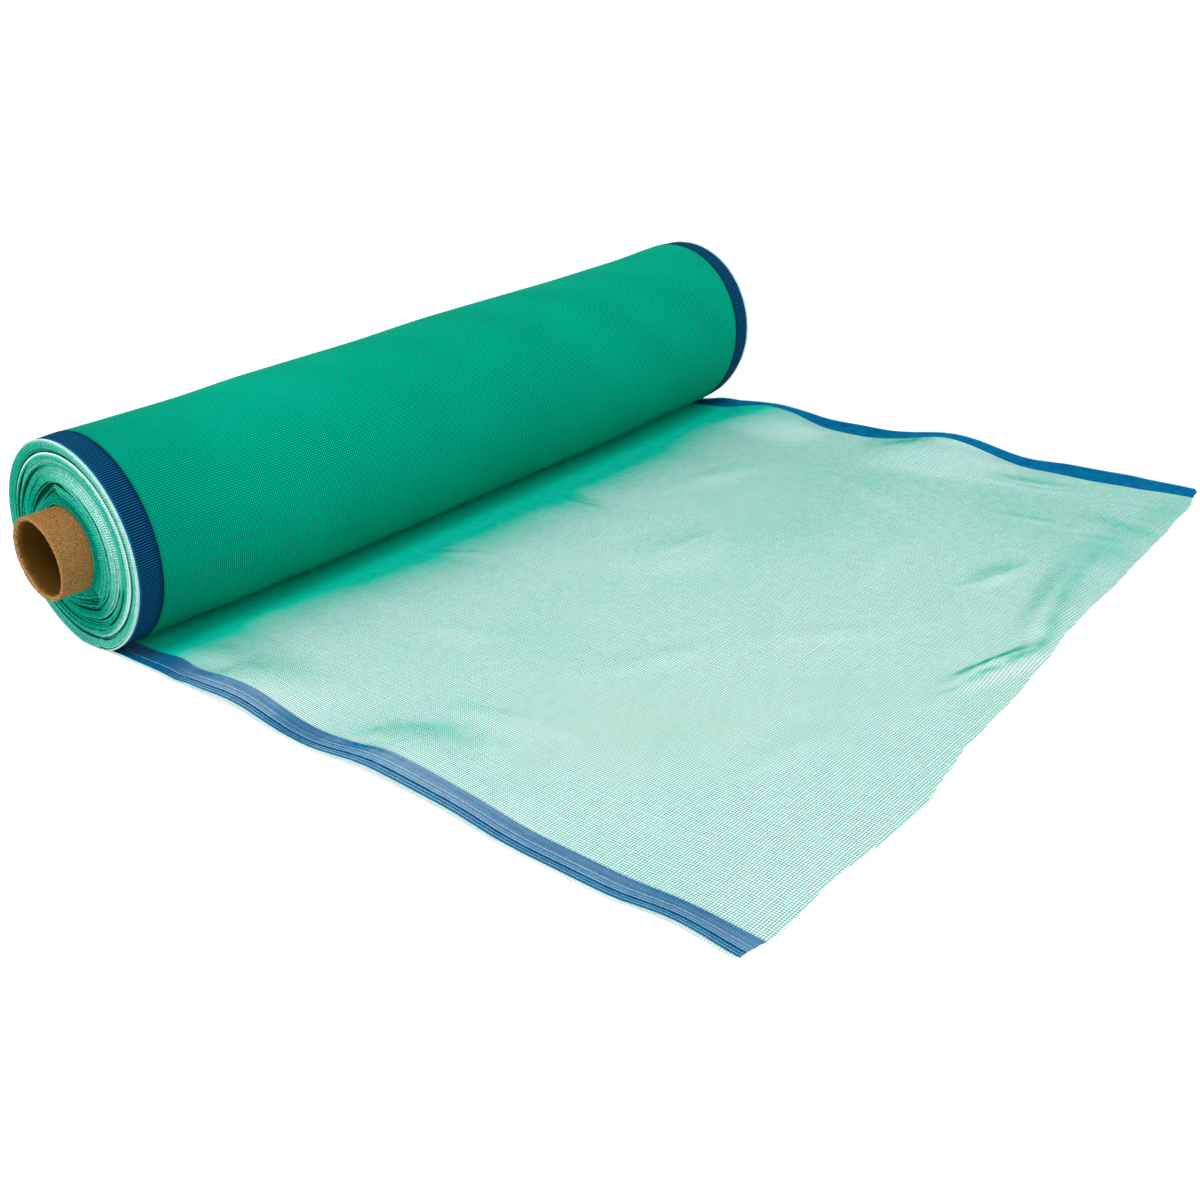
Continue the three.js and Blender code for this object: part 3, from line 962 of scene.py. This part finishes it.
def spiral_steps(step):
    """Angles and shares from rim to bore along the spiral of turns, one for each knot of the edge."""
    angles, shares = [LEAVING_ANGLE], [0.0]
    while shares[-1] < 1:
        radius = SPIRAL_RADIUS - SPIRAL_DEPTH * shares[-1]
        angles.append(angles[-1] - math.degrees(step / radius))
        shares.append((LEAVING_ANGLE - angles[-1]) / 360 / TURNS)
    return np.array(angles[:-1]), np.array(shares[:-1])


# Section of one turn's edge: across the turn as a share of its pitch, and depth into the roll
TURN_SECTION = table("across depth", (-0.5, 1.5), (-0.42, 0.35), (0, 0), (0.42, 0.35), (0.5, 1.5))

# Where the edges of the turns show pale loops: rings and a broad patch, by inset from the rim and direction.
# Rows with a negative amount make them darker: next to the bore, and in the hollow below it as painted shade
PALE_ZONES = table(
    "inset width angle spread amount",
    (0, 6, 20, 62, 1.35),
    (7, 5, 20, 60, 0.5),
    (15.6, 5, 20, 62, 1.4),
    (15.2, 1.8, 120, 50, 0.7),
    (24, 3, 100, 40, 0.4),
    (38, 22, 36, 56, 0.78),
    (31, 10, 20, 50, 0.25),
    (8, 14, -115, 42, 0.35),
    (34, 4, -60, 30, 0.3),
    (10, 16, 165, 40, 0.1),
    (28, 14, 150, 40, 0.1),
    (63, 7, 20, 60, -0.5),
    (40, 16, -75, 30, -0.1),
)
PLAIN_PALENESS = -0.04

# How unevenly the turns lie: whole turns slipped, slow wander, and the knots of the edge in depth and across
TURN_SLIP = 0.45
TURN_WANDER = 0.3
KNOT_DEPTH = 0.3
KNOT_ACROSS = 0.1
# How much paler or darker whole turns and single knots are
TURN_CONTRAST = 0.08
KNOT_CONTRAST = 0.3


def turn_paleness(inset, angle):
    pale = PLAIN_PALENESS
    for zone in PALE_ZONES:
        ring = soft_bump((inset - zone["inset"]) / zone["width"])
        pale = pale + zone["amount"] * ring * near_angle(angle, zone["angle"], zone["spread"]) ** 0.6
    return pale


def make_turn_edges(name, side, step, material):
    """The knobbly edges of the wound turns on one end face, as one long closed strip."""
    angle, share = spiral_steps(step)
    depth_across = face_depth(angle)
    # A little clear of the rim and of the bore
    share = 0.012 + share * 0.976
    inset = share * depth_across
    done = (angle[0] - angle) / 360
    turn = np.floor(done).astype(int)
    slips = random.normal(0, TURN_SLIP, TURNS + 2)
    blend = smoothstep(done - turn, 0.75, 1)
    slip = (slips[turn] * (1 - blend) + slips[turn + 1] * blend) * smoothstep(inset, 1, 5)
    wander = ripple((np.radians(angle) * 1.5, inset / 9), 5, TURN_WANDER) * smoothstep(inset, 0, 4)
    depth = setback(inset, angle) + slip + wander
    knot = np.where(np.arange(len(angle)) % 2 == 0, 1, -1) * random.uniform(0.6, 1.3, len(angle))
    pitch = depth_across / TURNS
    rings = []
    for corner in TURN_SECTION:
        top = 1 if corner["depth"] < 1 else 0
        at = share + (corner["across"] * pitch + KNOT_ACROSS * knot * top) / depth_across
        deep = depth + corner["depth"] - KNOT_DEPTH * knot * top
        rings.append(np.stack(end_point(side, at, angle, deep), -1))
    across = len(TURN_SECTION)
    faces = grid_faces(len(angle), across, close_columns=True)
    last = (len(angle) - 1) * across
    faces += [list(range(across))[::-1], list(range(last, last + across))]
    if side == 1:
        faces = [face[::-1] for face in faces]
    mesh = mesh_from(name, np.stack(rings, 1), faces, material)
    bright = random.normal(0, TURN_CONTRAST, TURNS + 2)[turn] + KNOT_CONTRAST * knot
    # Painted shade: how far the turns are set back into the face, which darkens them
    sunk = np.clip((setback(inset, angle) - 2.5) / 9, 0, 1)
    add_value(mesh, "pale", np.repeat(turn_paleness(inset, angle) + bright, across))
    add_value(mesh, "sunk", np.repeat(sunk, across))
    return finish_piece(new_object(name, mesh), "wound_net")


# How much of the floor the plain net hides between its yarns, and where it looks denser
PLAIN_HAZE = 0.01
HAZE = table(
    "x y long wide run amount",
    (745, 290, 80, 60, 90, 0.24),
    (752, 420, 90, 36, 92, 0.28),
    (650, 330, 190, 130, 160, 0.12),
    (400, 180, 170, 140, 90, 0.1),
    (330, 340, 260, 150, 0, 0.12),
    (380, -230, 90, 80, 90, 0.06),
    (430, -412, 85, 34, 28, 0.16),
    (460, 430, 150, 50, 0, 0.13),
    (205, 435, 90, 55, 0, 0.13),
    (360, 40, 90, 90, 0, 0.05),
)
# Where the cloth is nipped into a crease: painted denser and darker there, partly as cloth that doubles over
# and partly as painted shade in the crease
NIPS = table(
    "x y long wide run strength",
    (754, -92, 24, 3.4, 57, 0.7),
    (770, -55, 36, 4.2, 68, 1.0),
    (783, -10, 36, 5.5, 77, 1.0),
    (786, 32, 34, 9, 97, 0.7),
    (776, 76, 44, 13, 108, 0.55),
    (761, 130, 50, 10, 105, 0.5),
    (749, 188, 46, 9, 100, 0.45),
    (741, 245, 50, 14, 97, 0.3),
    (765, 150, 90, 20, 97, 0.22),
    (727, 303, 26, 7, 8, 0.3),
    (742, 318, 60, 40, 90, 0.16),
    (660, 125, 20, 4, 50, 0.25),
    (672, 143, 26, 3.6, 62, 0.45),
    (682, 176, 34, 3.6, 82, 0.65),
    (666, 165, 60, 24, 78, 0.2),
    (560, 411, 34, 4.5, -2, 0.2),
    (596, 412, 36, 4.5, 6, 0.4),
    (632, 421, 34, 4.5, 20, 0.25),
    (590, 436, 60, 18, 4, 0.15),
    (632, 318, 50, 8, 5, 0.14),
    (690, 320, 34, 8, -4, 0.14),
    (382, -450, 24, 12, 42, 0.3),
    (418, -408, 66, 17, 38, 0.22),
    (470, -368, 42, 12, 20, 0.1),
    (436, -361, 40, 5, 2, 0.08),
    (506, -346, 42, 8, 22, 0.08),
    (565, -336, 60, 8, 4, 0.08),
    (168, 76, 46, 6, 0, 0.4),
)


def painted_roll_shadow(x, y):
    """Painted shadow of the roll: how dense and green the net is painted beside the roll, full at first, then
    thinning out.
    """
    ragged = RAG_DEPTH * np.abs(((y + RAG_SLANT * x) / RAG_LENGTH) % 1 - 0.5)
    past = x + ragged - from_table(ROLL_SHADOW_REACH, "y", y, "x")
    return np.exp(-((np.maximum(past, 0) / SHADE_TAIL) ** SHADE_FALL))


# The thin sheet's own points: rows from the roll to its cut end, and lines along it, closer near its sides
FILM_ROWS = 170
FILM_SIDE = np.linspace(400, 500, 34)
FILM_LINES = np.concatenate([-FILM_SIDE[::-1], np.linspace(-392, 392, 110), FILM_SIDE])


def make_film(material):
    """The loose end as a thin sheet on its folds."""
    end = from_table(FREE_END, "y", FILM_LINES, "x")
    share = np.linspace(0, 1, FILM_ROWS)[:, None]
    x, y, z = net_point(FOOT_X + (end[None, :] - FOOT_X) * share, FILM_LINES)
    faces = grid_faces(FILM_ROWS, len(FILM_LINES))
    mesh = mesh_from("loose_net", np.stack([x, y, z], -1), faces, material)
    add_uv(mesh, "cloth", x, np.broadcast_to(FILM_LINES + HALF_WIDTH, x.shape))
    # How much of the roll's painted shadow each point takes
    add_value(mesh, "shade", painted_roll_shadow(x, y))
    add_value(mesh, "crease", np.clip(patches(NIPS, x, y, "strength"), 0, 1))
    add_value(mesh, "haze", patches(HAZE, x, y, "amount"))
    return new_object("loose_net", mesh)


# How far single yarns lie off their even places, and how far they sway along their length
UNEVEN = 0.04
SWAY = 0.12


def warp_lines(lines, lift=0.4, uneven=0.0):
    """Yarns along the net, from the roll's foot to the cut end."""
    out = []
    for line in lines + random.normal(0, 1, len(lines)) * uneven:
        end = float(from_table(FREE_END, "y", line, "x"))
        x = FOOT_X + stations(WARP_STEPS, end - FOOT_X + random.uniform(-0.4, 0.8))
        sway = SWAY * np.sin(x / 61 + line)
        out.append(np.stack(net_point(x, line + sway, lift), -1))
    return out


def weft_lines(low, high, step=None, lift=0.3, wave=0.0):
    """Yarns across the net between two of its lines, each as far as the cut end lets it run."""
    out = []
    y = low + (stations(WEFT_STEPS, high - low) if step is None else np.arange(0, high - low, step))
    lifts = lift + wave * np.where(np.arange(len(y)) % 2 == 0, 1, -1)
    end = from_table(FREE_END, "y", y, "x")
    places = np.arange(FOOT_X + 1, max(row["x"] for row in FREE_END), WEFT_PITCH)
    for count, x in enumerate(places + random.normal(0, 1, len(places)) * UNEVEN):
        kept = np.flatnonzero(end > x)
        for run in np.split(kept, np.where(np.diff(kept) > 1)[0] + 1):
            if len(run) > 1:
                sway = SWAY * np.sin(y[run] / 47 + x)
                flip = lift + (lifts[run] - lift) * (1 if count % 2 else -1)
                out.append(np.stack(net_point(x + sway, y[run], flip), -1))
    return out


def edge_line(line):
    """The line of one side edge of the loose end."""
    end = float(from_table(FREE_END, "y", line, "x"))
    return np.stack(net_point(np.arange(FOOT_X + 2, end - 1, 4), line, 0.4), -1)


def rim_line(side, low, high):
    """The line round part of the roll's rim at one end."""
    x, y, z = rim_point(side * HALF_WIDTH, np.linspace(low, high, 260))
    return np.stack([x, y - side * RIM_LOOP * 0.75, z], -1)


# Yarns of the near selvedge, by their distance in from the edge: dense outside, a dark pair, then open
SELVEDGE_PITCH = 0.95
BLUE_LINES = [*np.arange(3.9, 9.4, 0.72), *np.arange(12.9, 29, SELVEDGE_PITCH)]
DARK_PAIR = [9.9, 10.9]
WHITE_LINES = [11.9]
PALE_LINES = [5.9, 8.4, 14.2, 17.6]
# How high the yarns along the selvedges lie, their radius and their sides
SELVEDGE_YARNS = {
    "near_blue": (0.5, 0.31, 4),
    "near_dark": (0.7, 0.5, 5),
    "near_white": (0.65, 0.2, 4),
    "near_pale": (0.65, 0.2, 4),
    "far_blue": (0.5, 0.34, 4),
}
NEAR_WEFT = {"step": 1.25, "lift": 0.5, "wave": 0.32}
FRINGE_RADIUS = 0.24
RIM_LOOP = 2.4
RIM_LOOP_RADIUS = 0.52
# Where the white loops show on each rim: directions round the roll
RIM_LOOPS_NEAR = (-80, 118)
RIM_LOOPS_FAR = (-55, 118)


def selvedge_yarns(name, tree, side, insets, material):
    """One group of yarns along a selvedge, at distances in from its edge."""
    lift, radius, sides = SELVEDGE_YARNS[name]
    lines = side * (HALF_WIDTH - np.array(insets))
    return make_yarns(name, tree, warp_lines(lines, lift), radius, sides, material)


def make_selvedges(yarns, loops):
    """The blue yarns along both sides of the loose end, and the loops outside them."""
    blue = yarn_material("blue_yarn", BLUE_YARN, BLUE_LIGHT)
    dark = yarn_material("dark_blue_yarn", BLUE_DARK, BLUE_YARN)
    white = yarn_material("white_yarn", WHITE_SHADE, WHITE)
    pale = pale_yarn_material("pale_yarn", WHITE_SHADE, WHITE)
    weft = pale_yarn_material("selvedge_wefts", OPEN_WEFT, OPEN_WEFT_LIGHT)
    mint = yarn_material("mint_loops", LOOP_MINT, LOOP_MINT_LIGHT)
    inner = FRINGE + BLUE_WIDTH
    wefts = weft_lines(-HALF_WIDTH + FRINGE + 0.4, -HALF_WIDTH + inner, **NEAR_WEFT)
    far_lines = np.arange(FRINGE, inner + 0.3, SELVEDGE_PITCH)
    pieces = [
        selvedge_yarns("near_blue", yarns, -1, BLUE_LINES, blue),
        selvedge_yarns("near_dark", yarns, -1, DARK_PAIR, dark),
        selvedge_yarns("near_white", yarns, -1, WHITE_LINES, white),
        selvedge_yarns("near_pale", yarns, -1, PALE_LINES, pale),
        make_yarns("near_wefts", yarns, wefts, 0.25, 3, weft),
        selvedge_yarns("far_blue", yarns, 1, far_lines, blue),
    ]
    for side, name in ((-1, "near"), (1, "far")):
        edge = [edge_line(side * (HALF_WIDTH - FRINGE))]
        values = {"Reach": (0, side * FRINGE * MM, 0), "Radius": FRINGE_RADIUS * MM}
        pieces.append(grow(name + "_fringe", loops, edge, **values, Material=mint))
    return pieces


def make_rim_loops(loops):
    """White loops of the selvedge, standing round each rim of the roll."""
    white = yarn_material("rim_loops", RIM_LOOP_SHADE, RIM_LOOP_LIGHT)
    sizes = {"Length": RIM_LOOP * MM, "Radius": RIM_LOOP_RADIUS * MM, "Material": white}
    for side, name, (low, high) in ((-1, "near", RIM_LOOPS_NEAR), (1, "far", RIM_LOOPS_FAR)):
        reach = (0, side * RIM_LOOP * MM, 0)
        rim = grow(name + "_rim_loops", loops, [rim_line(side, low, high)], Reach=reach, **sizes)
        finish_piece(rim, "wound_net")


def make_net():
    """The loose end: its haze, its yarns both ways, its selvedges and the loops along its edges."""
    yarns, loops = yarn_tree(), loop_tree()
    green = net_yarn_material()
    film = make_film(film_material())
    inner = HALF_WIDTH - FRINGE - BLUE_WIDTH
    outer = HALF_WIDTH - FRINGE
    warps = np.arange(-inner + 1, inner, WARP_PITCH)
    pieces = [
        make_yarns("net_warp", yarns, warp_lines(warps, uneven=UNEVEN), YARN_RADIUS, 3, green),
        make_yarns("net_weft", yarns, weft_lines(-inner, outer), YARN_RADIUS, 3, green),
        *make_selvedges(yarns, loops),
    ]
    for piece in [film, *pieces]:
        finish_piece(piece, "loose_net")
    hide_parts("loose_end")
    make_rim_loops(loops)


def make_floor():
    size, drop = 60000, -0.3
    corners = [(-size, -size, drop), (size, -size, drop), (size, size, drop), (-size, size, drop)]
    new_object("floor", mesh_from("floor", corners, [[0, 1, 2, 3]], floor_material()))


# The photograph's camera: focal length in pixels of its 1200 pixel frame, direction and place
FRAME_PIXELS = 1200
FOCAL_PIXELS = 1406.3
CAMERA_AZIMUTH = 42.612
CAMERA_ELEVATION = 25.108
CAMERA_ROLL = -3.799
CAMERA_PLACE = (1274.4, -1109.9, 629.4)


def make_camera():
    azimuth, elevation, roll = map(math.radians, (CAMERA_AZIMUTH, CAMERA_ELEVATION, CAMERA_ROLL))
    flat = math.cos(elevation)
    back = Vector((math.sin(azimuth) * flat, -math.cos(azimuth) * flat, math.sin(elevation)))
    level = Vector((math.cos(azimuth), math.sin(azimuth), 0))
    upright = back.cross(level)
    right = level * math.cos(roll) + upright * math.sin(roll)
    up = upright * math.cos(roll) - level * math.sin(roll)
    data = bpy.data.cameras.new("camera")
    data.sensor_width = 36
    data.lens = data.sensor_width * FOCAL_PIXELS / FRAME_PIXELS
    data.clip_end = 500
    camera = new_object("camera", data)
    turned = Matrix((right, up, back)).transposed().to_4x4()
    camera.matrix_world = Matrix.Translation(Vector(CAMERA_PLACE) * MM) @ turned
    bpy.context.scene.camera = camera


# Two soft lights, each with its place and width in metres and its power, and the even light all round
LIGHTS = {"key": ((1.1, -1.4, 2.9), 1.2, 42), "fill": ((-1.4, -2.2, 1.6), 1.6, 12)}
LIGHT_TARGET = (0, 0, 0.1)
EVEN_LIGHT = 0.88


def area_light(name, place, size, power):
    data = bpy.data.lights.new(name, "AREA")
    data.shape = "DISK"
    data.size = size
    data.energy = power
    light = new_object(name, data)
    light.location = place
    light.rotation_euler = (Vector(LIGHT_TARGET) - Vector(place)).to_track_quat("-Z", "Y").to_euler()


def make_lights():
    world = bpy.data.worlds.new("studio")
    world.use_nodes = True
    background = world.node_tree.nodes["Background"]
    background.inputs["Color"].default_value = (1, 1, 1, 1)
    background.inputs["Strength"].default_value = EVEN_LIGHT
    bpy.context.scene.world = world
    for name, (place, size, power) in LIGHTS.items():
        area_light(name, place, size, power)
    bpy.context.scene.view_settings.view_transform = "Standard"


make_camera()
make_lights()
make_floor()
make_core(board_material())
make_roll(wound_net_material(), inner_turn_material())
turn_edges = turn_edge_material()
make_turn_edges("near_turns", -1, KNOT_STEP, turn_edges)
make_turn_edges("far_turns", 1, FAR_KNOT_STEP, turn_edges)
make_net()
